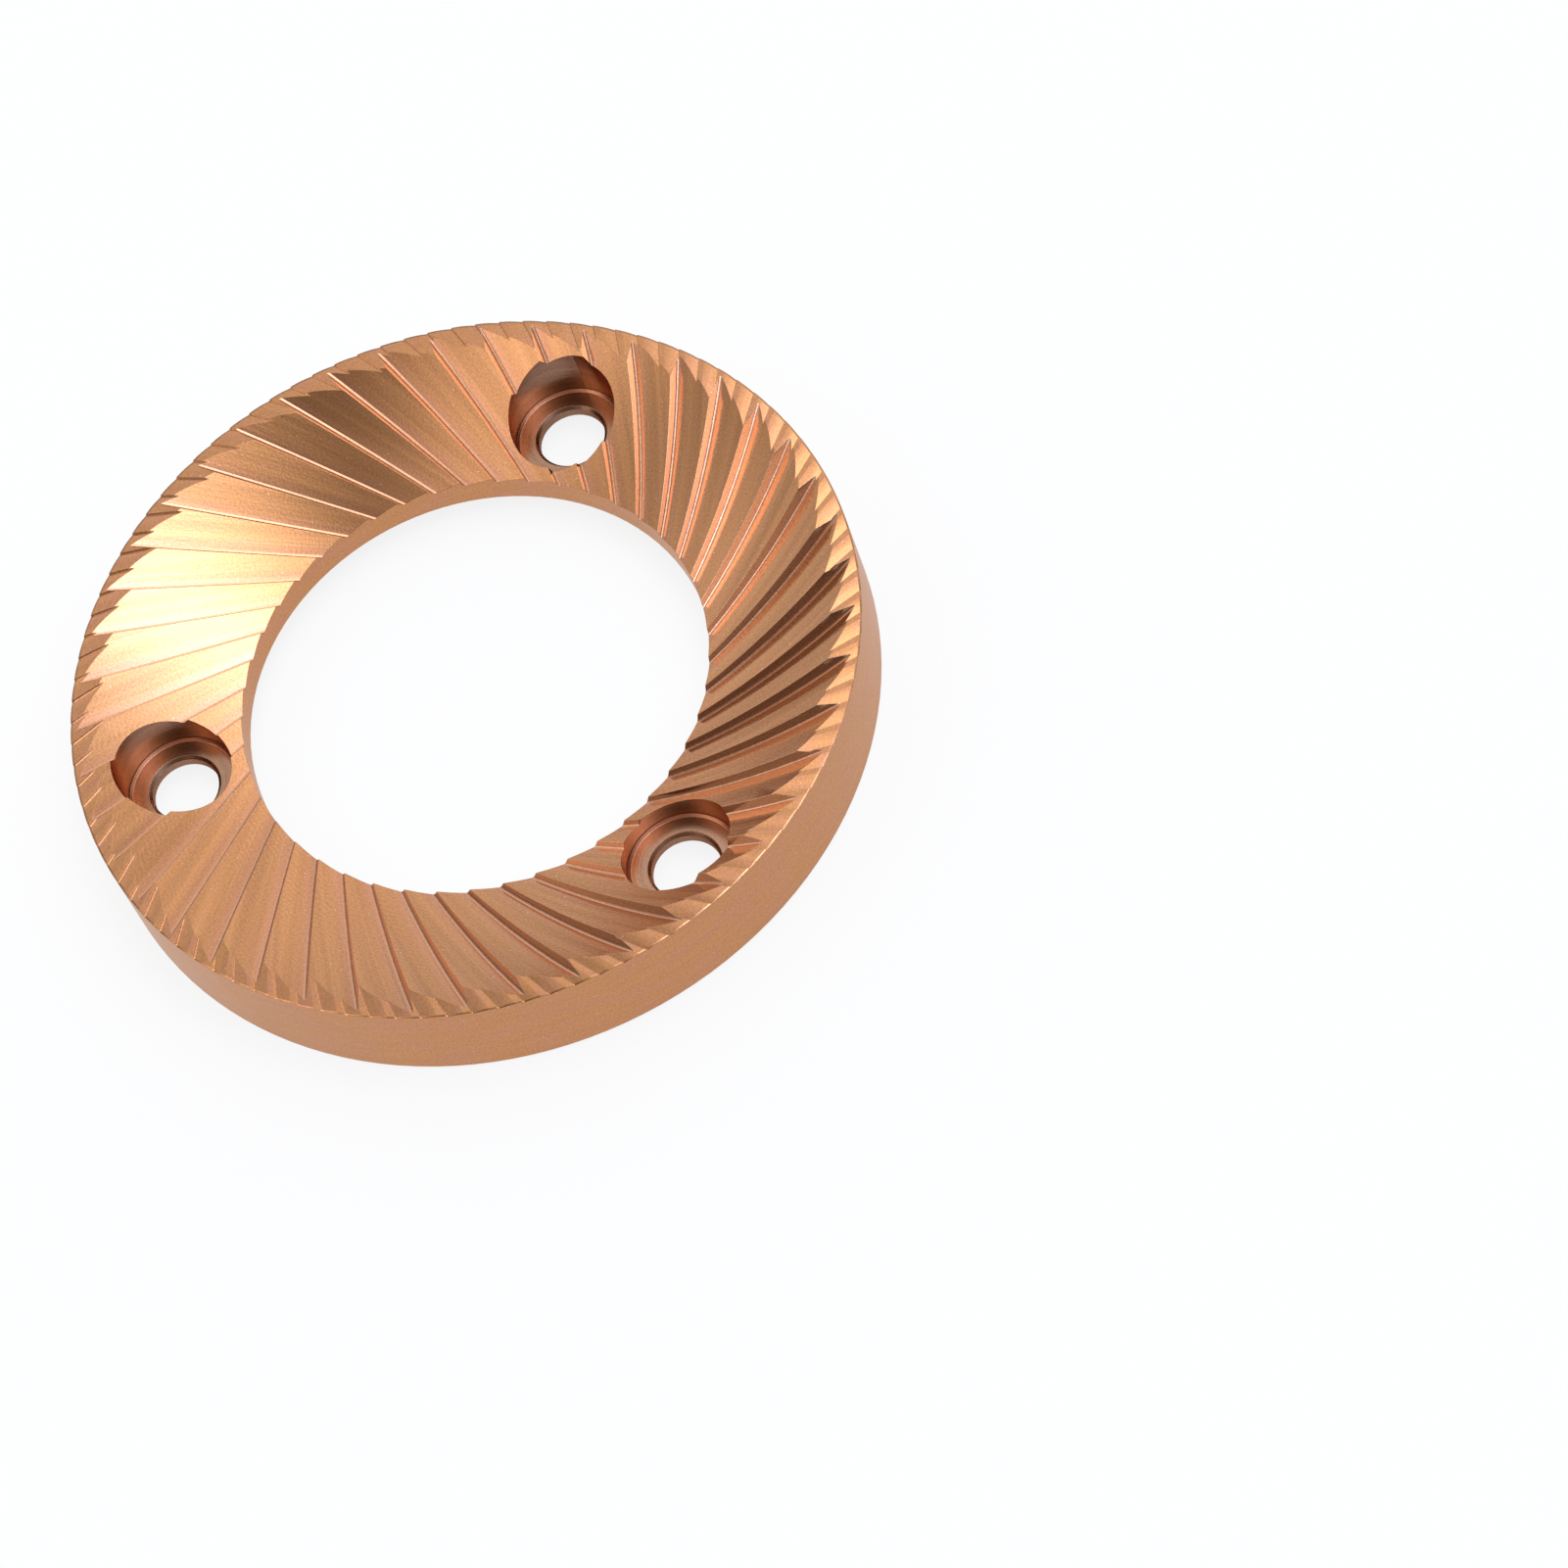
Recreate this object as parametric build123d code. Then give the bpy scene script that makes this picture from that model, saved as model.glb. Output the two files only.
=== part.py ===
from build123d import *
import os
from math import asin, cos, degrees, radians, sin, sqrt, tan

# Flat coffee grinder burr: one ring of hardened steel with a toothed face, a flat outer ring with
# fine finishing teeth, three counterbored screw holes and a recessed back.
# Millimetres. The origin is the centre of the back, +Z is the axis and points out of the toothed
# face, and the first screw hole lies on +X.

# Ring
outer_diameter = 64.0
bore_diameter = 38.1
thickness = 8.2
side_chamfer = 0.3

# Recess in the back, inside a lip at the outer edge
recess_depth = 1.8
lip_width = 3.4
recess_chamfer = 0.25

# Screw holes, each with a pocket for a cap screw's head
screw_count = 3
screw_hole_diameter = 5.5
screw_hole_chamfer = 0.25
pocket_diameter = 9.0
pocket_corner_chamfer = 0.2
pocket_to_bore_wall = 1.1
seat_thickness = 1.0

# Cutting teeth: each groove is the trace of a dished wheel whose flat side leaves the steep
# cutting face and whose conical rim leaves the long facet in front of it
tooth_count = 45
tooth_phase = 4.6
throat_depth = 4.06
groove_sweep = 19.07
groove_to_rim = 0.4
wheel_radius = 66.6
face_tilt = 31.2
facet_cone_angle = 7.5
groove_root_chamfer = 0.07

# Fine finishing teeth, cut into the flat outer ring across the ends of the cutting teeth
fine_count = 100
fine_phase = 0.7
fine_depth = 0.15
fine_land = 0.5
fine_swing = 31.5
fine_wall_angle = 70.0
fine_exit_angle = 2.0
fine_length = 4.2

# How far a cutting tool runs clear of the metal
tool_overrun = 1.0

outer_radius = outer_diameter / 2
bore_radius = bore_diameter / 2
pocket_radius = pocket_diameter / 2
screw_hole_radius = screw_hole_diameter / 2
screw_circle_radius = bore_radius + pocket_to_bore_wall + pocket_radius
seat_height = recess_depth + seat_thickness
recess_radius = outer_radius - lip_width
groove_end_radius = outer_radius - groove_to_rim
groove_pitch = 2 * groove_end_radius * sin(radians(180 / tooth_count))
UP = Vector(0, 0, 1)
TOOL_ALIGN = (Align.CENTER, Align.CENTER, Align.MIN)


def polar(radius, angle, height):
    """Return the point at a radius, an angle in degrees and a height."""
    return Vector(radius * cos(radians(angle)), radius * sin(radians(angle)), height)


def ring_blank():
    """Return the plain ring: bore, outer wall, flat face and recessed back."""
    section = Polyline(
        (bore_radius + recess_chamfer, recess_depth),
        (recess_radius, recess_depth),
        (recess_radius, 0),
        (outer_radius - side_chamfer, 0),
        (outer_radius, side_chamfer),
        (outer_radius, thickness),
        (bore_radius, thickness),
        (bore_radius, recess_depth + recess_chamfer),
        close=True,
    )
    return revolve(make_face(Plane.XZ * section), Axis.Z)


def screw_pocket(angle):
    """Return the space of one screw hole with its head pocket and seat."""
    shaft = Cylinder(screw_hole_radius, seat_height + tool_overrun, align=TOOL_ALIGN)
    shaft = Pos(0, 0, -tool_overrun) * shaft
    pocket = Cylinder(pocket_radius, thickness, align=TOOL_ALIGN)
    pocket = chamfer(pocket.edges().sort_by(Axis.Z)[0], pocket_corner_chamfer)
    pocket = Pos(0, 0, seat_height) * pocket
    mouth_radius = screw_hole_radius + screw_hole_chamfer
    mouth = Cone(screw_hole_radius, mouth_radius, screw_hole_chamfer, align=TOOL_ALIGN)
    mouth = Pos(0, 0, seat_height - screw_hole_chamfer) * mouth
    space = shaft + pocket + mouth
    return Rot(0, 0, angle) * Pos(screw_circle_radius, 0, 0) * space


def groove_cutter(angle):
    """Return the part of the wheel that cuts one groove, from the bore to just short of the rim."""
    inner = polar(bore_radius, angle, thickness - throat_depth)
    outer = polar(groove_end_radius, angle + groove_sweep, thickness)
    chord = outer - inner
    along = chord.normalized()
    across = along.cross(UP).normalized()
    lift = across.cross(along)
    axis = across * cos(radians(face_tilt)) + lift * sin(radians(face_tilt))
    half_chord = chord.length / 2
    rise = axis.cross(along) * sqrt(wheel_radius ** 2 - half_chord ** 2)
    centre = (inner + outer) * 0.5 + rise

    swing = degrees(2 * asin(half_chord / wheel_radius))
    run_out = degrees(groove_pitch / wheel_radius)
    wide_radius = wheel_radius + groove_pitch * tan(radians(facet_cone_angle))
    hub_radius = wheel_radius - throat_depth / cos(radians(face_tilt)) - tool_overrun
    section = Polyline(
        (hub_radius, 0),
        (wheel_radius, 0),
        (wide_radius, groove_pitch),
        (hub_radius, groove_pitch),
        close=True,
    )
    face = make_face(Plane.XZ * section)
    root = face.vertices().sort_by(Axis.Z)[:2].sort_by(Axis.X)[-1]
    face = chamfer(root, groove_root_chamfer)
    wheel = revolve(face, Axis.Z, revolution_arc=swing + 2 * run_out)
    return Plane(origin=centre, x_dir=inner - centre, z_dir=axis) * Rot(0, 0, -run_out) * wheel


def fine_cutter(angle):
    """Return the space in front of one fine tooth: a steep wall, then a crowned ramp back up to the face."""
    pitch = 2 * outer_radius * sin(radians(180 / fine_count)) * cos(radians(fine_swing))
    foot = Vector(fine_depth / tan(radians(fine_wall_angle)), -fine_depth)
    ramp_end = Vector(pitch - fine_land, 0)
    walls = Polyline(
        ramp_end,
        (ramp_end.X, tool_overrun),
        (0, tool_overrun),
        (0, 0),
        foot,
    )
    ramp = TangentArc(ramp_end, foot, tangent=polar(1, 180 + fine_exit_angle, 0))
    outward = polar(1, angle + fine_swing, 0)
    start = polar(outer_radius, angle, thickness) - outward * fine_length
    plane = Plane(origin=start, x_dir=UP.cross(outward), z_dir=outward)
    return extrude(plane * make_face(walls + ramp), fine_length + tool_overrun)


burr = ring_blank()
grooves = [groove_cutter(tooth_phase + 360 / tooth_count * k) for k in range(tooth_count)]
burr = burr - grooves
fine_teeth = [fine_cutter(fine_phase + 360 / fine_count * k) for k in range(fine_count)]
burr = burr - fine_teeth
pockets = [screw_pocket(360 / screw_count * k) for k in range(screw_count)]
burr = burr - pockets

os.makedirs("parts", exist_ok=True)
export_step(burr, "parts/burr.step")
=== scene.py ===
import math
from typing import NamedTuple

import bpy
import numpy as np
from bpy.props import FloatProperty, FloatVectorProperty, IntProperty, PointerProperty
from bpy.types import Operator, Panel, PropertyGroup
from mathutils import Matrix, Vector


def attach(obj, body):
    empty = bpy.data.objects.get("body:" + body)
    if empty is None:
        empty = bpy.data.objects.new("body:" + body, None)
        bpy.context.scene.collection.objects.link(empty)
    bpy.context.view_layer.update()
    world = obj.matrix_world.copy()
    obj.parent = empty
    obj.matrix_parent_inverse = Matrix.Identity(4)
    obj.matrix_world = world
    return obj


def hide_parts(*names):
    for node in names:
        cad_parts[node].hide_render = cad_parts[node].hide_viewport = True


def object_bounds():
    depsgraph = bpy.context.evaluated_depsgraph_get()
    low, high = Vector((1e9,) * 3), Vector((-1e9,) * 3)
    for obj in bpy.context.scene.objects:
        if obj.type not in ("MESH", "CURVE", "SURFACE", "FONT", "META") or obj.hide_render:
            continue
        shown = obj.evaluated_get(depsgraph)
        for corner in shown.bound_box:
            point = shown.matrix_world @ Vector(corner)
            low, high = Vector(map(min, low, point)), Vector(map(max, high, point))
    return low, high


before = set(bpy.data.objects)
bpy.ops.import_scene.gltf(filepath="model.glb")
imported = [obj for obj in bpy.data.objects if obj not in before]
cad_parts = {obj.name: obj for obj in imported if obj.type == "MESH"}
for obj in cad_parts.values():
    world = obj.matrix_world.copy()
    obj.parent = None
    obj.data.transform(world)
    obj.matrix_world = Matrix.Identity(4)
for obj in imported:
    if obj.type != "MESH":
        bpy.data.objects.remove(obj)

bl_info = {
    "name": "Coffee Grinder Burr",
    "version": (1, 0, 0),
    "blender": (4, 5, 0),
    "location": "View3D > Sidebar > Burr",
    "description": "Dresses the burr's solid with ground and turned finishes and sets up a small studio",
    "category": "Object",
}

CAD_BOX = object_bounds()
NODE = "burr"
BODY = "root"
GRAIN = "grain"
MM = 0.001
UP = Vector((0, 0, 1))

# Distance between the marks of one groove and the next on the grain map, so that no two are alike
GROOVE_SPACING = 60 * MM
# How far a triangle's centre may lie from the exact surface
SURFACE_TOLERANCE = 0.03 * MM
# Grid on which points of the solid that belong together fall on one place
MERGE_GRID = 1e-7
# Keeps the normal of a triangle without area finite
SMALLEST_AREA = 1e-20

# Upward and outward parts of a triangle's normal that tell the surfaces apart
FACE_MAX_UP = 0.75
RAMP_MIN_UP = 0.965
FLAT_MIN_UP = 0.999
FINE_WALL_SLACK = 0.03
SIDE_MIN_OUT = 0.7
BACK_MAX_UP = -0.5
CORNER_MIN_UP = 0.3
CORNER_MAX_UP = 0.95
# Depth below the flat ring within which fine teeth lie, as a share of their own depth
FINE_REACH = 1.1
FLAT_RING_SLACK = 0.01 * MM
# Room for the corner between a pocket's wall and its seat
SEAT_CORNER_WIDTH = 0.3 * MM
# How far before the bore a groove may still begin
GROOVE_START_SLACK = 1 * MM
# Added to the gap between a triangle and a groove that it can't belong to
OUT_OF_GROOVE = 1.0

WHITE_EDGE = (1.0, 1.0, 1.0)


class Finish(NamedTuple):
    """How a tool leaves a surface; lengths and depths in millimetres."""

    roughness: float
    line_pitch: float
    line_length: float
    line_depth: float
    grain_depth: float
    streak: float
    chatter_depth: float = 0.0
    root_line: float = 0.0
    edge_color: tuple = WHITE_EDGE


# Finishes of the burr's surfaces, in the order of its material slots
FINISHES = {
    "ground_facet": Finish(
        roughness=0.18, line_pitch=0.30, line_length=14.0, line_depth=0.0050, grain_depth=0.0042,
        streak=0.20, chatter_depth=0.0009, root_line=0.22),
    "cutting_face": Finish(
        roughness=0.18, line_pitch=0.25, line_length=14.0, line_depth=0.0020, grain_depth=0.0008,
        streak=0.06, edge_color=(1.0, 0.82, 0.70)),
    "flat_ring": Finish(
        roughness=0.26, line_pitch=0.30, line_length=5.0, line_depth=0.0012, grain_depth=0.0020,
        streak=0.08),
    "fine_ramp": Finish(
        roughness=0.22, line_pitch=0.30, line_length=4.0, line_depth=0.0030, grain_depth=0.0040,
        streak=0.10),
    "fine_wall": Finish(
        roughness=0.34, line_pitch=0.30, line_length=4.0, line_depth=0.0020, grain_depth=0.0020,
        streak=0.06),
    "turned_side": Finish(
        roughness=0.34, line_pitch=0.16, line_length=2.5, line_depth=0.0012, grain_depth=0.0040,
        streak=0.05, edge_color=(1.0, 0.92, 0.85)),
    "screw_pocket": Finish(
        roughness=0.22, line_pitch=0.24, line_length=30.0, line_depth=0.0080, grain_depth=0.0008,
        streak=0.20, edge_color=(1.0, 0.62, 0.48)),
    "seat_corner": Finish(
        roughness=0.25, line_pitch=0.22, line_length=30.0, line_depth=0.0010, grain_depth=0.0008,
        streak=0.06),
    "back": Finish(
        roughness=0.34, line_pitch=0.25, line_length=20.0, line_depth=0.0025, grain_depth=0.0018,
        streak=0.06),
}
(GROUND_FACET, CUTTING_FACE, FLAT_RING, FINE_RAMP, FINE_WALL,
 TURNED_SIDE, SCREW_POCKET, SEAT_CORNER, BACK) = range(len(FINISHES))

# Finishes that reach the rim's upper edge
RIM_FINISHES = ("flat_ring", "fine_ramp")

# Sizes of marks on the grain map, along and across the tool's path
PATCH_SIZE = (4 * MM, 1.5 * MM)
SCRATCH_SIZE = (40 * MM, 0.13 * MM)
CHATTER_PATCH_SIZE = (7 * MM, 1.2 * MM)
CHATTER_WOBBLE_SIZE = (2 * MM, 0.8 * MM)
# Length and width of the streaks, as multiples of a line's length and pitch
STREAK_LENGTH = 2
STREAK_WIDTH = 3
# Levels of noise between which the marks set in
PATCH_LEVELS = (0.35, 0.75)
SCRATCH_LEVELS = (0.76, 0.88)
CHATTER_LEVELS = (0.42, 0.60)

# Side of the ring on which the wheel chattered, how far out towards it the ripples set in, and their wander
CHATTER_SIDE = math.radians(50)
CHATTER_REACH = (5 * MM, 20 * MM)
CHATTER_WANDER = 9.0

# Slopes beside a groove's root and at the rim's upper edge, as rise over run
ROOT_SLOPE = 0.3
RIM_SLOPE = 0.5
# Radius from which the flat ring slopes down to the rim
RIM_SLOPE_START = CAD_BOX[1].x - 0.14 * MM
# Rays that look for an edge to round, at each point
EDGE_SAMPLES = 4

# Specks: at most one of a kind in each cell, the share of cells without it, and its radii in cells
SPECK_CELL = 0.8 * MM
SPECK_RARITY = 0.95
SPECK_RADII = (0.08, 0.03)

# How strongly the marks change the coating's colour and roughness
MEAN_SHADE = 0.95
GRAIN_SHADE = 0.5
RIPPLE_SHADE = 0.05
PATCH_SHARE = 0.3
DARK_SPECK_SHARE = 0.7
PALE_SPECK_SHARE = 0.6
SCRATCH_SHARE = 0.1
# Share of the pale colour painted along the roots as highlight
ROOT_HIGHLIGHT_SHARE = 0.08
ROUGHNESS_SPREAD = 0.12
# Where the painted highlight along a root fades out and is full, as shares of the root line's width
ROOT_HIGHLIGHT_FADE = (1.1, 0.8)
# How far the border of the rosy band wanders, and the share of the band's width where it is full
ROSY_WANDER = 1.2 * MM
ROSY_FULL = 0.2
# Share of the rosy band's width from which ripples set in
RIPPLE_START = 0.5

NEUTRAL = (1.0, 1.0, 1.0)
PALE_COOL = (1.0, 1.12, 1.3)
PALE_GOLD = (1.0, 1.0, 0.9)
WARM = (1.0, 0.86, 0.75)


class SoftLight(NamedTuple):
    """A soft light on the studio's walls; angles in degrees, and brightness 1 shows white as white."""

    azimuth: float
    zenith: float
    spread: float
    brightness: float
    tint: tuple = NEUTRAL


SOFT_LIGHTS = {
    "top softbox": SoftLight(azimuth=157, zenith=19, spread=13, brightness=2.4, tint=(1.0, 1.0, 0.95)),
    "top softbox's middle": SoftLight(azimuth=155, zenith=23, spread=9, brightness=1.4, tint=(0.5, 1.0, 2.4)),
    "top softbox's near edge": SoftLight(azimuth=118, zenith=14, spread=10, brightness=1.15, tint=PALE_GOLD),
    "top softbox's lower edge": SoftLight(azimuth=149, zenith=36, spread=15, brightness=1.4, tint=PALE_COOL),
    "ceiling": SoftLight(azimuth=252, zenith=17, spread=10, brightness=2.2),
    "ceiling's left end": SoftLight(azimuth=222, zenith=29, spread=9, brightness=1.2),
    "right panel": SoftLight(azimuth=2, zenith=45, spread=13, brightness=1.55),
    "right panel's lower edge": SoftLight(azimuth=24, zenith=68, spread=17, brightness=0.55, tint=WARM),
    "back wall": SoftLight(azimuth=229, zenith=58, spread=25, brightness=0.97),
    "back wall's far end": SoftLight(azimuth=301, zenith=60, spread=22, brightness=0.72),
    "back wall's foot": SoftLight(azimuth=275, zenith=86, spread=27, brightness=0.50, tint=PALE_COOL),
    "front wall": SoftLight(azimuth=80, zenith=52, spread=20, brightness=0.15, tint=(1.0, 0.75, 0.6)),
}

# Half the floor's side, in metres
FLOOR_HALF = 1.5
# The floor's glow to the metal sets in between these shares of the ring's half width, from the ring's middle
FLOOR_GLOW_REACH = (0.7, 1.1)
# Width of the camera's sensor in millimetres, and the near and far ends of its view in metres
SENSOR_WIDTH = 36
CAMERA_CLIP = (0.01, 10)


class BurrShape(PropertyGroup):
    """Sizes of the solid that tell one surface from another and give the run of its tool marks"""

    outer_radius: FloatProperty(
        name="Outer radius", description="Radius of the rim",
        default=CAD_BOX[1].x, unit="LENGTH", precision=5)
    bore_radius: FloatProperty(
        name="Bore radius", description="Radius of the bore's wall",
        default=0.01905, unit="LENGTH", precision=5)
    thickness: FloatProperty(
        name="Thickness", description="Height of the flat outer ring above the back",
        default=CAD_BOX[1].z, unit="LENGTH", precision=5)
    screw_count: IntProperty(
        name="Screw holes", description="Number of screw holes", default=3, min=1)
    screw_circle_radius: FloatProperty(
        name="Screw circle radius", description="Radius of the circle that the screw holes lie on",
        default=0.02465, unit="LENGTH", precision=5)
    pocket_radius: FloatProperty(
        name="Pocket radius", description="Radius of the pocket round a screw's head",
        default=0.0045, unit="LENGTH", precision=5)
    tooth_count: IntProperty(
        name="Cutting teeth", description="Number of cutting teeth and of the grooves between them",
        default=45, min=1)
    tooth_phase: FloatProperty(
        name="Tooth phase", description="Angle of the first groove where it leaves the bore",
        default=math.radians(4.6), subtype="ANGLE")
    throat_depth: FloatProperty(
        name="Throat depth", description="Depth of the grooves at the bore",
        default=0.00406, unit="LENGTH", precision=5)
    groove_sweep: FloatProperty(
        name="Groove sweep", description="Angle that a groove turns through from the bore to the rim",
        default=math.radians(19.07), subtype="ANGLE")
    groove_to_rim: FloatProperty(
        name="Groove to rim", description="Distance from the end of a groove to the rim",
        default=0.0004, unit="LENGTH", precision=5)
    wheel_radius: FloatProperty(
        name="Wheel radius", description="Radius of the wheel that ground the grooves",
        default=0.0666, unit="LENGTH", precision=5)
    face_tilt: FloatProperty(
        name="Face tilt", description="Lean of the cutting faces from upright",
        default=math.radians(31.2), subtype="ANGLE")
    facet_cone_angle: FloatProperty(
        name="Facet cone angle", description="Cone angle of the wheel's rim",
        default=math.radians(7.5), subtype="ANGLE")
    fine_depth: FloatProperty(
        name="Fine tooth depth", description="Depth of the fine teeth in the flat ring",
        default=0.00015, unit="LENGTH", precision=5)
    fine_swing: FloatProperty(
        name="Fine tooth swing", description="Angle of the fine teeth from the radius",
        default=math.radians(31.5), subtype="ANGLE")
    fine_wall_angle: FloatProperty(
        name="Fine wall angle", description="Slope of the steep walls of the fine teeth",
        default=math.radians(70), subtype="ANGLE")


class BurrFinish(PropertyGroup):
    """Colours and edges of the burr's hard coating"""

    coat_color: FloatVectorProperty(
        name="Coating", description="Colour that the coating reflects straight on",
        default=(0.58, 0.272, 0.120), subtype="COLOR", min=0, max=1)
    rosy_color: FloatVectorProperty(
        name="Rosy coating", description="Colour of the thicker coating in patches and beside the roots",
        default=(0.58, 0.268, 0.145), subtype="COLOR", min=0, max=1)
    face_color: FloatVectorProperty(
        name="Cutting faces", description="Colour of the steep cutting faces",
        default=(0.80, 0.53, 0.36), subtype="COLOR", min=0, max=1)
    # A darker, browner colour than the coating's, given to the whole of each screw pocket
    pocket_color: FloatVectorProperty(
        name="Pockets", description="Colour of the browner coating in the screw pockets",
        default=(0.44, 0.245, 0.155), subtype="COLOR", min=0, max=1)
    # Brighter than the pockets: painted highlight on the rounded corner of each seat
    corner_highlight_color: FloatVectorProperty(
        name="Seat corners", description="Colour of the corner between a pocket's wall and its seat",
        default=(0.90, 0.38, 0.22), subtype="COLOR", min=0, max=1)
    # Pale metal at scratches and pale specks, and also the painted highlight on the fine walls and along the
    # roots
    pale_metal_and_highlight_color: FloatVectorProperty(
        name="Bright metal",
        description="Colour where the coating is thin: fine walls, scratches and pale specks",
        default=(0.95, 0.80, 0.66), subtype="COLOR", min=0, max=1)
    speck_color: FloatVectorProperty(
        name="Specks", description="Colour of the small dark specks",
        default=(0.24, 0.10, 0.05), subtype="COLOR", min=0, max=1)
    rosy_width: FloatProperty(
        name="Rosy band", description="Width of the rosy band beside a groove's root",
        default=0.0012, unit="LENGTH", precision=5)
    edge_radius: FloatProperty(
        name="Edge radius", description="Rounding of the edges that the light catches",
        default=0.00006, unit="LENGTH", precision=6)
    chatter_pitch: FloatProperty(
        name="Chatter pitch", description="Distance between the ripples that the wheel left on some facets",
        default=0.00055, unit="LENGTH", precision=6)
    grain_size: FloatProperty(
        name="Grain size", description="Size of the fine grain of the coating",
        default=0.0002, unit="LENGTH", precision=6)


class BurrStudio(PropertyGroup):
    """Floor, lights and camera"""

    floor_color: FloatVectorProperty(
        name="Floor", description="Colour of the floor",
        default=(0.82, 0.82, 0.82), subtype="COLOR", min=0, max=1)
    floor_glow: FloatProperty(
        name="Floor glow", description="Share of plain white in the floor as the camera and the metal see it",
        default=0.86, min=0, max=1, subtype="FACTOR")
    camera_aim: FloatVectorProperty(
        name="Camera aim", description="Point on the floor at the middle of the picture",
        default=(-0.021147, 0.015208, 0.0), subtype="TRANSLATION", precision=6)
    camera_distance: FloatProperty(
        name="Camera distance", description="Distance from the aim to the camera",
        default=0.418473, unit="LENGTH", precision=6)
    camera_azimuth: FloatProperty(
        name="Camera azimuth", description="Direction from the aim to the camera, from +X",
        default=math.radians(95.965), subtype="ANGLE")
    camera_elevation: FloatProperty(
        name="Camera elevation", description="Height of the camera above the floor, as an angle",
        default=math.radians(56.866), subtype="ANGLE")
    camera_roll: FloatProperty(
        name="Camera roll", description="Turn of the camera about its own line of sight",
        default=math.radians(-22.801), subtype="ANGLE")
    camera_lens: FloatProperty(
        name="Camera lens", description="Focal length for a sensor 36 mm wide",
        default=123.447, unit="CAMERA")
    room_brightness: FloatProperty(
        name="Room brightness", description="Brightness of the room between the soft lights",
        default=0.02, min=0)


def polar(radius, angle, height=0.0):
    """Return the point at a radius, an angle in radians and a height."""
    return Vector((radius * math.cos(angle), radius * math.sin(angle), height))


def turned(points, angle):
    """Return points turned about the burr's axis by an angle in radians, or by one angle for each row."""
    c, s = np.cos(angle), np.sin(angle)
    x, y, z = points[..., 0], points[..., 1], points[..., 2]
    return np.stack([c * x - s * y, s * x + c * y, z], -1)


class Nodes:
    """Adds nodes to an empty tree and links them."""

    # Sockets of a mix node that hold colours
    MIX_FIRST = 6
    MIX_SECOND = 7
    MIX_RESULT = 2

    def __init__(self, tree):
        self.tree = tree
        self.tree.nodes.clear()

    def add(self, kind, settings=None, **inputs):
        node = self.tree.nodes.new(kind)
        for key, value in (settings or {}).items():
            setattr(node, key, value)
        for key, value in inputs.items():
            self.put(node.inputs[key.replace("_", " ")], value)
        return node

    def put(self, socket, value):
        if isinstance(value, bpy.types.NodeSocket):
            self.tree.links.new(value, socket)
        else:
            socket.default_value = value

    def math(self, operation, *values):
        node = self.tree.nodes.new("ShaderNodeMath")
        node.operation = operation
        for socket, value in zip(node.inputs, values):
            self.put(socket, value)
        return node.outputs[0]

    def vector(self, operation, *values):
        node = self.tree.nodes.new("ShaderNodeVectorMath")
        node.operation = operation
        for socket, value in zip(node.inputs, values):
            self.put(socket, value)
        return node.outputs["Value" if operation in ("DOT_PRODUCT", "LENGTH") else "Vector"]

    def noise(self, place, sizes, detail=2.0):
        """Return smooth noise from 0 to 1 whose features have the given sizes along the grain map."""
        scale = (1 / sizes[0], 1 / sizes[1], 1)
        spread = self.vector("MULTIPLY", place, scale)
        settings = {"noise_dimensions": "2D"}
        node = self.add("ShaderNodeTexNoise", settings, Vector=spread, Scale=1.0, Detail=detail)
        return node.outputs["Fac"]

    def ramp(self, value, low, high):
        """Return a value mapped smoothly from low and high to 0 and 1."""
        settings = {"interpolation_type": "SMOOTHSTEP"}
        node = self.add("ShaderNodeMapRange", settings, Value=value, From_Min=low, From_Max=high)
        return node.outputs["Result"]

    def blend(self, share, first, second):
        """Return a colour between two colours."""
        node = self.add("ShaderNodeMix", {"data_type": "RGBA"})
        self.put(node.inputs["Factor"], share)
        self.put(node.inputs[self.MIX_FIRST], first)
        self.put(node.inputs[self.MIX_SECOND], second)
        return node.outputs[self.MIX_RESULT]


def corner_data(mesh):
    """Return the points, triangles, corner normals and triangle normals of a triangle mesh as arrays."""
    points = np.empty(len(mesh.vertices) * 3, np.float32)
    mesh.vertices.foreach_get("co", points)
    points = points.reshape(-1, 3).astype(float)
    corners = np.empty(len(mesh.loops), np.int32)
    mesh.loops.foreach_get("vertex_index", corners)
    triangles = corners.reshape(-1, 3)
    normals = np.empty(len(mesh.loops) * 3, np.float32)
    mesh.corner_normals.foreach_get("vector", normals)
    corner_normals = normals.reshape(-1, 3, 3).astype(float)
    a, b, c = (points[triangles[:, k]] for k in range(3))
    flat = np.cross(b - a, c - a)
    flat /= np.maximum(np.linalg.norm(flat, axis=1, keepdims=True), SMALLEST_AREA)
    return points, triangles, corner_normals, flat


def screw_holes(shape):
    """Return the points at the middle of the screw holes."""
    step = math.tau / shape.screw_count
    return [polar(shape.screw_circle_radius, step * k) for k in range(shape.screw_count)]


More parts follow.
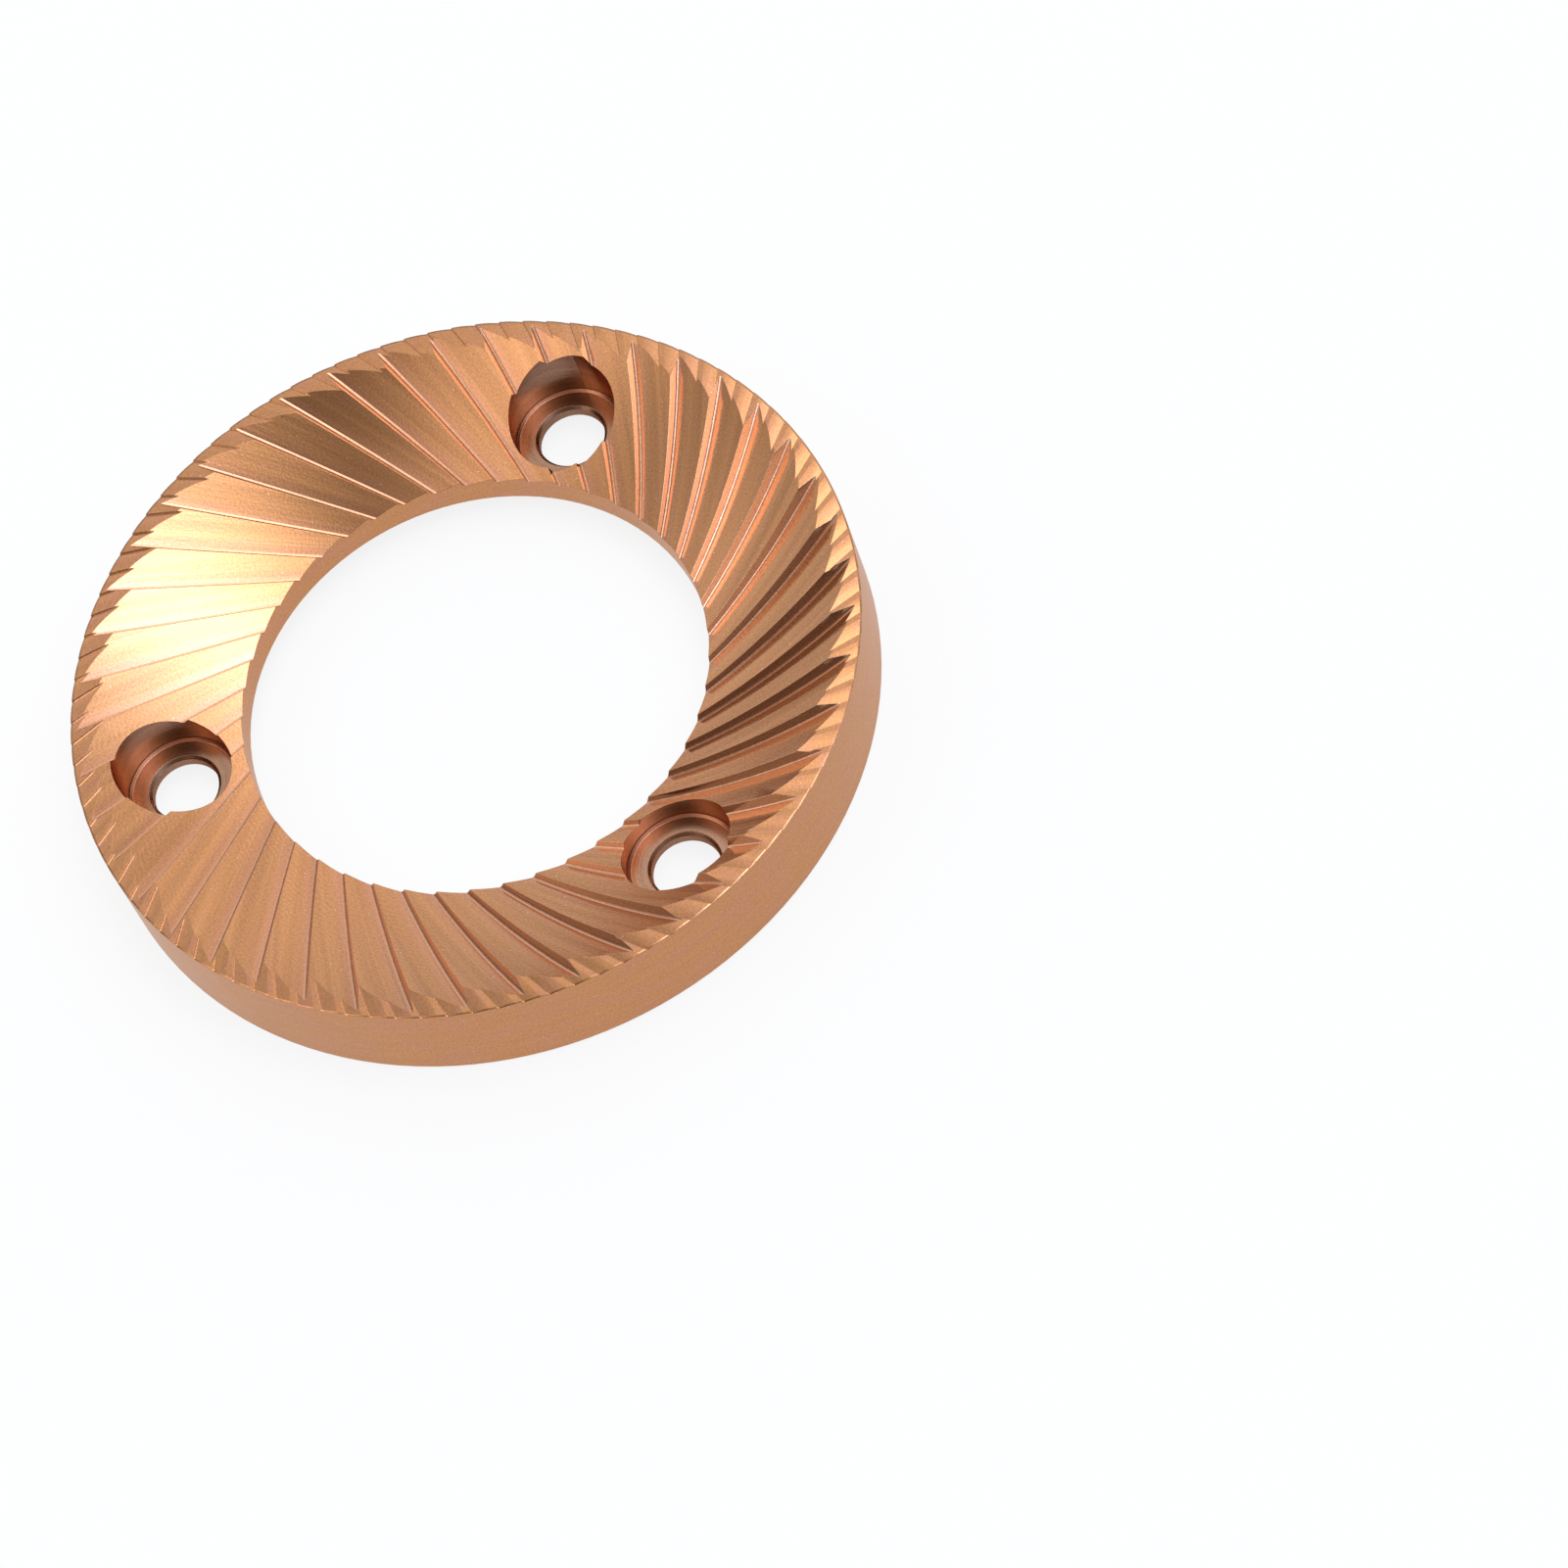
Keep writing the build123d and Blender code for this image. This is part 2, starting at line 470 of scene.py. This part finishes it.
def sort_surfaces(shape, centres, flat):
    """Return the finish of each triangle, from where it lies and which way it faces."""
    radius = np.hypot(centres[:, 0], centres[:, 1])
    height = centres[:, 2]
    outward = (centres[:, :2] * flat[:, :2]).sum(1) / radius
    upward = flat[:, 2]
    finish = np.full(len(centres), GROUND_FACET)
    finish[upward < FACE_MAX_UP] = CUTTING_FACE
    near_top = height > shape.thickness - FINE_REACH * shape.fine_depth
    finish[near_top & (upward > RAMP_MIN_UP)] = FINE_RAMP
    finish[near_top & (np.abs(upward - math.cos(shape.fine_wall_angle)) < FINE_WALL_SLACK)] = FINE_WALL
    finish[(height > shape.thickness - FLAT_RING_SLACK) & (upward > FLAT_MIN_UP)] = FLAT_RING
    finish[(radius > shape.outer_radius - SURFACE_TOLERANCE) & (outward > SIDE_MIN_OUT)] = TURNED_SIDE
    finish[(radius < shape.bore_radius + SURFACE_TOLERANCE) & (outward < -SIDE_MIN_OUT)] = TURNED_SIDE
    finish[upward < BACK_MAX_UP] = BACK
    for hole in screw_holes(shape):
        reach = np.hypot(centres[:, 0] - hole.x, centres[:, 1] - hole.y)
        in_pocket = (reach < shape.pocket_radius) & (upward > BACK_MAX_UP)
        finish[in_pocket] = SCREW_POCKET
        sloped = (upward > CORNER_MIN_UP) & (upward < CORNER_MAX_UP)
        finish[in_pocket & sloped & (reach > shape.pocket_radius - SEAT_CORNER_WIDTH)] = SEAT_CORNER
    return finish


def wheel_place(shape):
    """Return the centre, the axis and the first spoke of the wheel that ground the groove at angle zero."""
    inner = polar(shape.bore_radius, 0, shape.thickness - shape.throat_depth)
    outer = polar(shape.outer_radius - shape.groove_to_rim, shape.groove_sweep, shape.thickness)
    chord = outer - inner
    along = chord.normalized()
    across = along.cross(UP).normalized()
    lift = across.cross(along)
    axis = across * math.cos(shape.face_tilt) + lift * math.sin(shape.face_tilt)
    rise = axis.cross(along) * math.sqrt(shape.wheel_radius ** 2 - (chord.length / 2) ** 2)
    centre = (inner + outer) / 2 + rise
    return np.array(centre), np.array(axis), np.array((inner - centre).normalized())


def wheel_coordinates(shape, points):
    """Return how far points lie along the groove at angle zero, along its wheel's axis and inside its rim."""
    centre, axis, spoke = wheel_place(shape)
    away = points - centre
    aside = away @ axis
    along = np.arctan2(away @ np.cross(axis, spoke), away @ spoke) * shape.wheel_radius
    inside = shape.wheel_radius - np.linalg.norm(away - aside[..., None] * axis, axis=-1)
    return along, aside, inside


def groove_of(shape, centres, finish):
    """Return the number of the groove that each triangle of a facet or a cutting face belongs to."""
    best = np.full(len(centres), np.inf)
    groove = np.zeros(len(centres))
    pitch = math.tau / shape.tooth_count
    for k in range(shape.tooth_count):
        along, aside, inside = wheel_coordinates(shape, turned(centres, -(shape.tooth_phase + k * pitch)))
        facet_gap = np.abs(inside + aside * math.tan(shape.facet_cone_angle))
        facet_gap[aside < -SURFACE_TOLERANCE] += OUT_OF_GROOVE
        face_gap = np.abs(aside)
        face_gap[inside < -SURFACE_TOLERANCE] += OUT_OF_GROOVE
        gap = np.where(finish == CUTTING_FACE, face_gap, facet_gap)
        gap[(along < -GROOVE_START_SLACK) | (along > shape.outer_radius)] += OUT_OF_GROOVE
        groove[gap < best] = k
        best = np.minimum(gap, best)
    return groove


def arc_coordinates(points, centres):
    """Return the arc length and the radius of triangles' corners round the Z axis, seamless in a triangle."""
    middle = np.arctan2(centres[:, 1], centres[:, 0])
    radius = np.hypot(points[..., 0], points[..., 1])
    aside = turned(points, -middle[:, None])
    angle = middle[:, None] + np.arctan2(aside[..., 1], aside[..., 0])
    return angle * np.hypot(centres[:, 0], centres[:, 1])[:, None], radius


def grain_map(shape, points, finish):
    """Return grain coordinates for each triangle's corners: along the tool's path, then across it."""
    centres = points.mean(1)
    arc, radius = arc_coordinates(points, centres)
    grain = np.stack([arc, radius], -1)

    ground = (finish == GROUND_FACET) | (finish == CUTTING_FACE)
    groove = groove_of(shape, centres[ground], finish[ground])
    turn = shape.tooth_phase + groove * math.tau / shape.tooth_count
    along, aside, inside = wheel_coordinates(shape, turned(points[ground], -turn[:, None]))
    across = np.where((finish[ground] == CUTTING_FACE)[:, None], inside, aside)
    grain[ground] = np.stack([along + GROOVE_SPACING * groove[:, None], across], -1)

    ramp = (finish == FINE_RAMP) | (finish == FINE_WALL)
    c, s = math.cos(shape.fine_swing), math.sin(shape.fine_swing)
    grain[ramp] = np.stack([radius[ramp] * c + arc[ramp] * s, arc[ramp] * c - radius[ramp] * s], -1)

    side = finish == TURNED_SIDE
    grain[side] = np.stack([arc[side], points[side][..., 2]], -1)

    for hole in screw_holes(shape):
        from_hole = points - np.array(hole)
        near = np.linalg.norm(from_hole.mean(1)[:, :2], axis=1) < shape.pocket_radius
        in_pocket = near & ((finish == SCREW_POCKET) | (finish == SEAT_CORNER))
        arc_in, reach = arc_coordinates(from_hole[in_pocket], from_hole[in_pocket].mean(1))
        grain[in_pocket] = np.stack([arc_in, reach + points[in_pocket][..., 2]], -1)
    return grain


def burr_mesh(shape):
    """Return the burr's mesh, closed at its seams, with each triangle's finish as its material index and a
    grain map.
    """
    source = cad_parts[NODE].data
    points, triangles, corner_normals, flat = corner_data(source)
    on_grid = np.round(points / MERGE_GRID).astype(np.int64)
    keys, merged = np.unique(on_grid, axis=0, return_inverse=True)
    joined = merged.reshape(-1)[triangles]
    whole = (joined[:, 0] != joined[:, 1]) & (joined[:, 1] != joined[:, 2]) & (joined[:, 0] != joined[:, 2])
    joined, corner_normals, flat = joined[whole], corner_normals[whole], flat[whole]
    corners = keys * MERGE_GRID
    finish = sort_surfaces(shape, corners[joined].mean(1), flat)
    mesh = bpy.data.meshes.new("burr_body")
    mesh.from_pydata(corners.tolist(), [], joined.tolist())
    mesh.polygons.foreach_set("use_smooth", np.ones(len(joined), bool))
    mesh.polygons.foreach_set("material_index", finish.astype(np.int32))
    grain = mesh.uv_layers.new(name=GRAIN)
    grain.data.foreach_set("uv", grain_map(shape, corners[joined], finish).astype(np.float32).ravel())
    mesh.normals_split_custom_set(corner_normals.reshape(-1, 3).tolist())
    mesh.update()
    return mesh


class MachinedMetal:
    """The coated metal as one tool leaves it: lines along its path, fine grain, ripples and specks."""

    def __init__(self, name, marks, finish):
        self.name = name
        self.marks = marks
        self.finish = finish
        self.material = bpy.data.materials.new(name)
        self.material.use_nodes = True
        self.nodes = nodes = Nodes(self.material.node_tree)
        self.place = nodes.add("ShaderNodeUVMap", {"uv_map": GRAIN}).outputs["UV"]
        self.along, self.across, _ = nodes.add("ShaderNodeSeparateXYZ", Vector=self.place).outputs
        self.lines = nodes.noise(self.place, (marks.line_length * MM, marks.line_pitch * MM), detail=3.0)
        self.grain = nodes.noise(self.place, (finish.grain_size, finish.grain_size))
        self.ripples = self.chatter() if marks.chatter_depth else None
        smoothest = marks.roughness - ROUGHNESS_SPREAD / 2
        shader = nodes.add(
            "ShaderNodeBsdfPrincipled", Base_Color=self.color(), Metallic=1.0,
            Roughness=nodes.math("MULTIPLY_ADD", self.lines, ROUGHNESS_SPREAD, smoothest),
            Specular_Tint=(*marks.edge_color, 1), Normal=self.relief())
        nodes.add("ShaderNodeOutputMaterial", Surface=shader.outputs["BSDF"])

    def spot(self):
        """Return the place on the burr, in its own frame."""
        return self.nodes.add("ShaderNodeTexCoord").outputs["Object"]

    def chatter(self):
        """Return ripples from -1 to 1, in patches on one side of the ring and away from the roots."""
        nodes = self.nodes
        wobble = nodes.noise(self.place, CHATTER_WOBBLE_SIZE, detail=1.0)
        slanted = nodes.math("ADD", self.along, self.across)
        phase = nodes.math("MULTIPLY", slanted, math.tau / self.finish.chatter_pitch)
        ripple = nodes.math("SINE", nodes.math("MULTIPLY_ADD", wobble, CHATTER_WANDER, phase))
        where = nodes.ramp(nodes.noise(self.place, CHATTER_PATCH_SIZE, detail=1.0), *CHATTER_LEVELS)
        reach = nodes.vector("DOT_PRODUCT", self.spot(), polar(1, CHATTER_SIDE))
        where = nodes.math("MULTIPLY", where, nodes.ramp(reach, *CHATTER_REACH))
        width = self.finish.rosy_width
        where = nodes.math("MULTIPLY", where, nodes.ramp(self.across, RIPPLE_START * width, width))
        return nodes.math("MULTIPLY", ripple, where)

    def relief(self):
        """Return the normal of the marked surface; the heights are in millimetres."""
        nodes, marks = self.nodes, self.marks
        height = nodes.math("MULTIPLY", self.lines, marks.line_depth)
        height = nodes.math("MULTIPLY_ADD", self.grain, marks.grain_depth, height)
        if self.ripples is not None:
            height = nodes.math("MULTIPLY_ADD", self.ripples, marks.chatter_depth, height)
        if marks.root_line:
            # The wheel's worn corner leaves a narrow slope beside the root
            inwards = nodes.math("SUBTRACT", marks.root_line, nodes.math("DIVIDE", self.across, MM))
            height = nodes.math("MULTIPLY_ADD", nodes.math("MAXIMUM", inwards, 0.0), ROOT_SLOPE, height)
        if self.name in RIM_FINISHES:
            # The rim's upper edge is broken by a narrow slope
            from_axis = nodes.vector("LENGTH", nodes.vector("MULTIPLY", self.spot(), (1, 1, 0)))
            outwards = nodes.math("DIVIDE", nodes.math("SUBTRACT", from_axis, RIM_SLOPE_START), MM)
            height = nodes.math("MULTIPLY_ADD", nodes.math("MAXIMUM", outwards, 0.0), -RIM_SLOPE, height)
        bump = nodes.add("ShaderNodeBump", Strength=1.0, Distance=MM, Height=height)
        # The fine teeth's walls are hardly wider than the edges' rounding, so they have none
        if self.name != "fine_wall":
            edge = nodes.add("ShaderNodeBevel", {"samples": EDGE_SAMPLES}, Radius=self.finish.edge_radius)
            nodes.put(bump.inputs["Normal"], edge.outputs["Normal"])
        return bump.outputs["Normal"]

    def coat(self):
        """Return the plain colour: the finish's own, or the coating's with rosy patches and root bands."""
        nodes, finish = self.nodes, self.finish
        own_color = {
            "cutting_face": finish.face_color,
            # The fine walls are painted pale, as highlight along the fine teeth's steps
            "fine_wall": finish.pale_metal_and_highlight_color,
            "screw_pocket": finish.pocket_color,
            # The seat corners are painted brighter, as highlight on the rounded corner
            "seat_corner": finish.corner_highlight_color,
        }
        if self.name in own_color:
            return own_color[self.name]
        patches = nodes.noise(self.place, PATCH_SIZE)
        rosy = nodes.ramp(patches, *PATCH_LEVELS)
        if self.marks.root_line:
            inner = nodes.math("SUBTRACT", self.across, ROSY_WANDER / 2)
            border = nodes.math("MULTIPLY_ADD", patches, ROSY_WANDER, inner)
            band = nodes.ramp(border, finish.rosy_width, ROSY_FULL * finish.rosy_width)
            rosy = nodes.math("MULTIPLY_ADD", rosy, PATCH_SHARE, band)
        return nodes.blend(rosy, (*finish.coat_color, 1), (*finish.rosy_color, 1))

    def specks(self):
        """Return where the dark and the pale specks are."""
        nodes = self.nodes
        settings = {"voronoi_dimensions": "2D"}
        cells = nodes.add("ShaderNodeTexVoronoi", settings, Vector=self.place, Scale=1 / SPECK_CELL)
        chances = nodes.add("ShaderNodeSeparateColor", Color=cells.outputs["Color"]).outputs
        dot = nodes.ramp(cells.outputs["Distance"], *SPECK_RADII)
        return [
            nodes.math("MULTIPLY", nodes.math("GREATER_THAN", chance, SPECK_RARITY), dot)
            for chance in (chances["Red"], chances["Green"])
        ]

    def color(self):
        """Return the coating's colour with its streaks, grain, ripples, specks, scratches and the painted
        highlights along the roots.
        """
        nodes, marks, finish = self.nodes, self.marks, self.finish
        streak_size = (STREAK_LENGTH * marks.line_length * MM, STREAK_WIDTH * marks.line_pitch * MM)
        streaks = nodes.noise(self.place, streak_size, detail=1.0)
        shade = nodes.math("MULTIPLY_ADD", streaks, 2 * marks.streak, MEAN_SHADE - marks.streak)
        shade = nodes.math("MULTIPLY_ADD", nodes.math("SUBTRACT", self.grain, 0.5), GRAIN_SHADE, shade)
        if self.ripples is not None:
            shade = nodes.math("MULTIPLY_ADD", self.ripples, RIPPLE_SHADE, shade)
        color = nodes.vector("SCALE", self.coat())
        nodes.put(color.node.inputs["Scale"], shade)
        dark, pale = self.specks()
        color = nodes.blend(nodes.math("MULTIPLY", dark, DARK_SPECK_SHARE), color, (*finish.speck_color, 1))
        bright = nodes.math("MULTIPLY", pale, PALE_SPECK_SHARE)
        if marks.root_line:
            scratches = nodes.ramp(nodes.noise(self.place, SCRATCH_SIZE, detail=0.0), *SCRATCH_LEVELS)
            bright = nodes.math("MULTIPLY_ADD", scratches, SCRATCH_SHARE, bright)
            # A pale band painted along each root stands in for the highlight on the rounded root
            fade, full = (share * marks.root_line * MM for share in ROOT_HIGHLIGHT_FADE)
            bright = nodes.math("MULTIPLY_ADD", nodes.ramp(self.across, fade, full), ROOT_HIGHLIGHT_SHARE, bright)
        return nodes.blend(bright, color, (*finish.pale_metal_and_highlight_color, 1))


class BURR_OT_body(Operator):
    """Build the burr's body with its ground, turned and flat finishes"""

    bl_idname = "burr.body"
    bl_label = "Burr Body"

    def execute(self, context):
        mesh = burr_mesh(context.scene.burr_shape)
        for name, marks in FINISHES.items():
            mesh.materials.append(MachinedMetal(name, marks, context.scene.burr_finish).material)
        body = bpy.data.objects.new("burr_body", mesh)
        context.scene.collection.objects.link(body)
        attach(body, BODY)
        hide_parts(NODE)
        return {"FINISHED"}


def floor_material(studio, shape):
    """Return the floor's paint, which glows white to the camera and, away from the ring, to the metal."""
    material = bpy.data.materials.new("pale_floor")
    material.use_nodes = True
    nodes = Nodes(material.node_tree)
    middle = (shape.bore_radius + shape.outer_radius) / 2
    half_width = (shape.outer_radius - shape.bore_radius) / 2
    from_axis = nodes.vector("LENGTH", nodes.add("ShaderNodeNewGeometry").outputs["Position"])
    from_middle = nodes.math("ABSOLUTE", nodes.math("SUBTRACT", from_axis, middle))
    dark_end, glow_start = (share * half_width for share in FLOOR_GLOW_REACH)
    open_floor = nodes.ramp(from_middle, dark_end, glow_start)
    path = nodes.add("ShaderNodeLightPath")
    mirrored = nodes.math("MULTIPLY", path.outputs["Is Glossy Ray"], open_floor)
    seen = nodes.math("MAXIMUM", path.outputs["Is Camera Ray"], mirrored)
    paint = nodes.add("ShaderNodeBsdfDiffuse", Color=(*studio.floor_color, 1.0))
    white = nodes.add("ShaderNodeEmission", Color=(1, 1, 1, 1), Strength=1.0)
    glow = nodes.add("ShaderNodeMixShader", Fac=nodes.math("MULTIPLY", seen, studio.floor_glow))
    nodes.put(glow.inputs[1], paint.outputs["BSDF"])
    nodes.put(glow.inputs[2], white.outputs["Emission"])
    nodes.add("ShaderNodeOutputMaterial", Surface=glow.outputs["Shader"])
    return material


def make_floor(studio, shape):
    """Add the pale floor that the burr lies on."""
    mesh = bpy.data.meshes.new("floor")
    sides = ((-1, -1), (1, -1), (1, 1), (-1, 1))
    mesh.from_pydata([(x * FLOOR_HALF, y * FLOOR_HALF, 0) for x, y in sides], [], [(0, 1, 2, 3)])
    mesh.materials.append(floor_material(studio, shape))
    floor = bpy.data.objects.new("floor", mesh)
    bpy.context.scene.collection.objects.link(floor)


def make_room(studio):
    """Return the world: a dim room with soft lights on its walls and ceiling."""
    world = bpy.data.worlds.new("studio")
    world.use_nodes = True
    nodes = Nodes(world.node_tree)
    ray = nodes.add("ShaderNodeTexCoord").outputs["Generated"]
    level = [studio.room_brightness] * 3
    for light in SOFT_LIGHTS.values():
        zenith = math.radians(light.zenith)
        towards = polar(math.sin(zenith), math.radians(light.azimuth), math.cos(zenith))
        sharpness = 1 / math.radians(light.spread) ** 2
        facing = nodes.vector("DOT_PRODUCT", ray, towards)
        falloff = nodes.math("EXPONENT", nodes.math("MULTIPLY_ADD", facing, sharpness, -sharpness))
        level = nodes.vector("MULTIPLY_ADD", falloff, Vector(light.tint) * light.brightness, level)
    background = nodes.add("ShaderNodeBackground", Color=level, Strength=1.0)
    nodes.add("ShaderNodeOutputWorld", Surface=background.outputs["Background"])
    return world


def make_camera(studio):
    """Add the camera and set it as the scene's own."""
    data = bpy.data.cameras.new("camera")
    data.sensor_width = SENSOR_WIDTH
    data.lens = studio.camera_lens
    data.clip_start, data.clip_end = CAMERA_CLIP
    camera = bpy.data.objects.new("camera", data)
    back = polar(math.cos(studio.camera_elevation), studio.camera_azimuth, math.sin(studio.camera_elevation))
    turn = (-back).to_track_quat("-Z", "Y").to_matrix() @ Matrix.Rotation(studio.camera_roll, 3, "Z")
    place = Vector(studio.camera_aim) + back * studio.camera_distance
    camera.matrix_world = Matrix.Translation(place) @ turn.to_4x4()
    bpy.context.scene.collection.objects.link(camera)
    bpy.context.scene.camera = camera


class BURR_OT_stage(Operator):
    """Set up the floor, the lights and the camera"""

    bl_idname = "burr.stage"
    bl_label = "Studio"

    def execute(self, context):
        studio = context.scene.burr_studio
        make_floor(studio, context.scene.burr_shape)
        make_camera(studio)
        context.scene.world = make_room(studio)
        context.scene.view_settings.view_transform = "Standard"
        return {"FINISHED"}


class BURR_PT_panel(Panel):
    """Sidebar panel with the burr's steps and settings"""

    bl_idname = "BURR_PT_panel"
    bl_label = "Coffee Grinder Burr"
    bl_space_type = "VIEW_3D"
    bl_region_type = "UI"
    bl_category = "Burr"

    def draw(self, context):
        layout = self.layout
        for operator in OPERATORS:
            layout.operator(operator.bl_idname)
        for group in GROUPS:
            box = layout.box()
            settings = getattr(context.scene, group)
            for key in settings.__annotations__:
                box.prop(settings, key)


GROUPS = {"burr_shape": BurrShape, "burr_finish": BurrFinish, "burr_studio": BurrStudio}
OPERATORS = (BURR_OT_body, BURR_OT_stage)


def register():
    for group in GROUPS.values():
        bpy.utils.register_class(group)
    for name, group in GROUPS.items():
        setattr(bpy.types.Scene, name, PointerProperty(type=group))
    for operator in OPERATORS:
        bpy.utils.register_class(operator)
    bpy.utils.register_class(BURR_PT_panel)


def unregister():
    bpy.utils.unregister_class(BURR_PT_panel)
    for operator in reversed(OPERATORS):
        bpy.utils.unregister_class(operator)
    for name, group in GROUPS.items():
        delattr(bpy.types.Scene, name)
        bpy.utils.unregister_class(group)


def main():
    register()
    bpy.ops.burr.body()
    bpy.ops.burr.stage()


if __name__ == "__main__":
    main()
